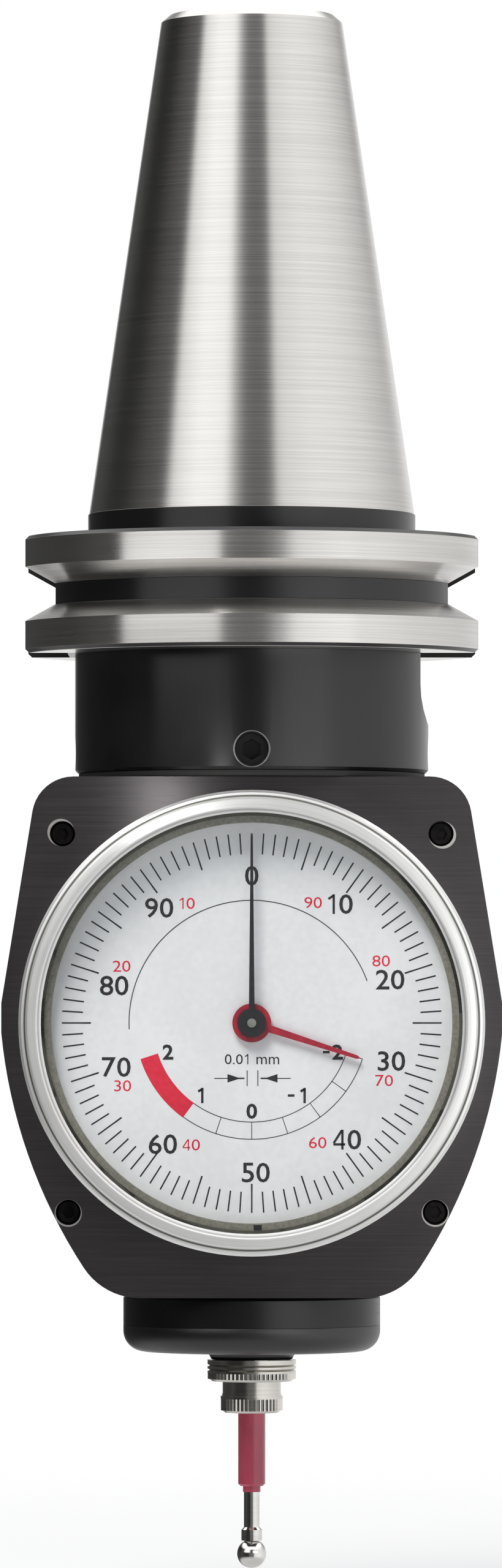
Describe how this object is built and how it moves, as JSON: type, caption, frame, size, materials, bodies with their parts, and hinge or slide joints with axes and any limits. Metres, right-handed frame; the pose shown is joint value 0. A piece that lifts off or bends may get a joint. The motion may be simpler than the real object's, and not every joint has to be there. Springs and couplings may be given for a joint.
{
  "type": "dial positioning indicator",
  "caption": "Edge-finding touch probe on a steep-taper shank: dark housing with a large round dial, rubber boot and red stylus with a steel ball.",
  "frame": {"origin": "centre of the taper's gauge circle, where the cone has its nominal diameter", "axes": "+Z along the spindle axis towards the drawbar end; the dial faces -Y; X runs across the dial"},
  "size_m": [0.0672, 0.0634, 0.212],
  "materials": {
    "ground_steel": "ground",
    "black_screws": "blackened",
    "dark_anodised": "brushed and anodised charcoal",
    "dark_ring": "anodised black",
    "black_rubber": "matt",
    "bezel_metal": "satin turned",
    "crystal_clear": "clear",
    "spacer_olive": "anodised olive brown",
    "dial_white": "matt white, printed scale",
    "brass": "turned",
    "bronze": "bored",
    "bright_steel": "turned and polished",
    "spring_steel": "drawn wire",
    "pointer_black": "painted black",
    "pointer_red": "painted red",
    "red_plastic": "moulded, glossy",
    "polished_steel": "lapped"
  },
  "bodies": {
    "housing": {"taper_shank": "ground_steel", "centring_screws": "black_screws", "clamp_screw": "black_screws", "housing_body": "dark_anodised", "front_frame": "dark_anodised", "frame_gasket": "black_rubber", "corner_screws": "black_screws", "movement_front_plate": "brass", "movement_rear_plate": "brass", "movement_pillars": "brass", "pillar_screws": "bright_steel", "plate_screws": "bright_steel", "counter_stud": "bright_steel", "hairspring": "spring_steel", "hairspring_stud": "bright_steel", "guide_bush": "bronze", "return_spring": "spring_steel", "stop_ring": "dark_ring", "boot_ring": "dark_ring", "boot_screws": "black_screws", "rubber_boot": "black_rubber"},
    "bezel": {"bezel_ring": "bezel_metal", "crystal": "crystal_clear", "crystal_gasket": "black_rubber", "dial_spacer": "spacer_olive", "dial_key": "black_rubber", "dial_face": "dial_white", "dial_snap_ring": "bezel_metal", "bezel_wire": "bezel_metal"},
    "plunger": {"carriage": "bright_steel", "thrust_ball": "polished_steel", "ring_pins": "bright_steel", "plunger_rod": "bright_steel", "rack_bar": "bright_steel", "bracket_screw": "black_screws", "centring_spring": "spring_steel"},
    "gimbal": {"gimbal_ring": "bright_steel", "carrier_pins": "bright_steel"},
    "stylus": {"stylus_carrier": "bright_steel", "stylus_seat": "bright_steel", "tip_base": "bright_steel", "stylus_stem": "red_plastic", "stylus_pin": "polished_steel", "stylus_ball": "polished_steel"},
    "rack_gear": {"rack_arbor": "bright_steel", "rack_wheel": "brass"},
    "centre": {"centre_arbor": "bright_steel", "long_pointer": "pointer_black"},
    "counter": {"counter_wheel": "brass"},
    "sweep": {"sweep_wheel": "brass", "short_pointer": "pointer_red"},
    "take_up": {"take_up_wheel": "brass"}
  },
  "joints": [
    {"name": "bezel_turn", "type": "hinge", "parent": "housing", "child": "bezel", "pos_m": [0, 0, -0.0693], "axis": [0, 1, 0], "continuous": true},
    {"name": "probe_plunge", "type": "slide", "parent": "housing", "child": "plunger", "axis": [0, 0, 1], "range_m": [0, 0.004], "stiffness_N_per_m": 350, "springref_m": -0.006, "deforming": ["return_spring", "rubber_boot"]},
    {"name": "probe_tilt_x", "type": "hinge", "parent": "plunger", "child": "gimbal", "pos_m": [0, 0, -0.1], "axis": [1, 0, 0], "range_deg": [-5.5, 5.5], "stiffness_Nm_per_rad": 0.3, "deforming": ["rubber_boot", "centring_spring"]},
    {"name": "probe_tilt_y", "type": "hinge", "parent": "gimbal", "child": "stylus", "pos_m": [0, 0, -0.1], "axis": [0, 1, 0], "range_deg": [-5.5, 5.5], "stiffness_Nm_per_rad": 0.3, "deforming": ["rubber_boot", "centring_spring"]},
    {"name": "rack_gear_turn", "type": "hinge", "parent": "housing", "child": "rack_gear", "pos_m": [-0.0056, 0, -0.07877], "axis": [0, 1, 0], "range_deg": [-146, 2]},
    {"name": "long_pointer_turn", "type": "hinge", "parent": "housing", "child": "centre", "pos_m": [0, 0, -0.0693], "axis": [0, 1, 0], "range_deg": [-2, 1442]},
    {"name": "counter_turn", "type": "hinge", "parent": "housing", "child": "counter", "pos_m": [-0.00416, 0, -0.0669], "axis": [0, 1, 0], "range_deg": [-482, 2]},
    {"name": "short_pointer_turn", "type": "hinge", "parent": "housing", "child": "sweep", "pos_m": [0, 0, -0.0693], "axis": [0, 1, 0], "range_deg": [-2, 146]},
    {"name": "take_up_turn", "type": "hinge", "parent": "housing", "child": "take_up", "pos_m": [0.0056, 0, -0.05983], "axis": [0, 1, 0], "range_deg": [-146, 2], "deforming": ["hairspring"]}
  ],
  "couplings": [
    {"joint": "rack_gear_turn", "follows": "probe_plunge", "rad_per_m": -628.32},
    {"joint": "long_pointer_turn", "follows": "probe_plunge", "rad_per_m": 6283.2},
    {"joint": "counter_turn", "follows": "probe_plunge", "rad_per_m": -2094.4},
    {"joint": "short_pointer_turn", "follows": "probe_plunge", "rad_per_m": 628.32},
    {"joint": "take_up_turn", "follows": "probe_plunge", "rad_per_m": -628.32}
  ]
}
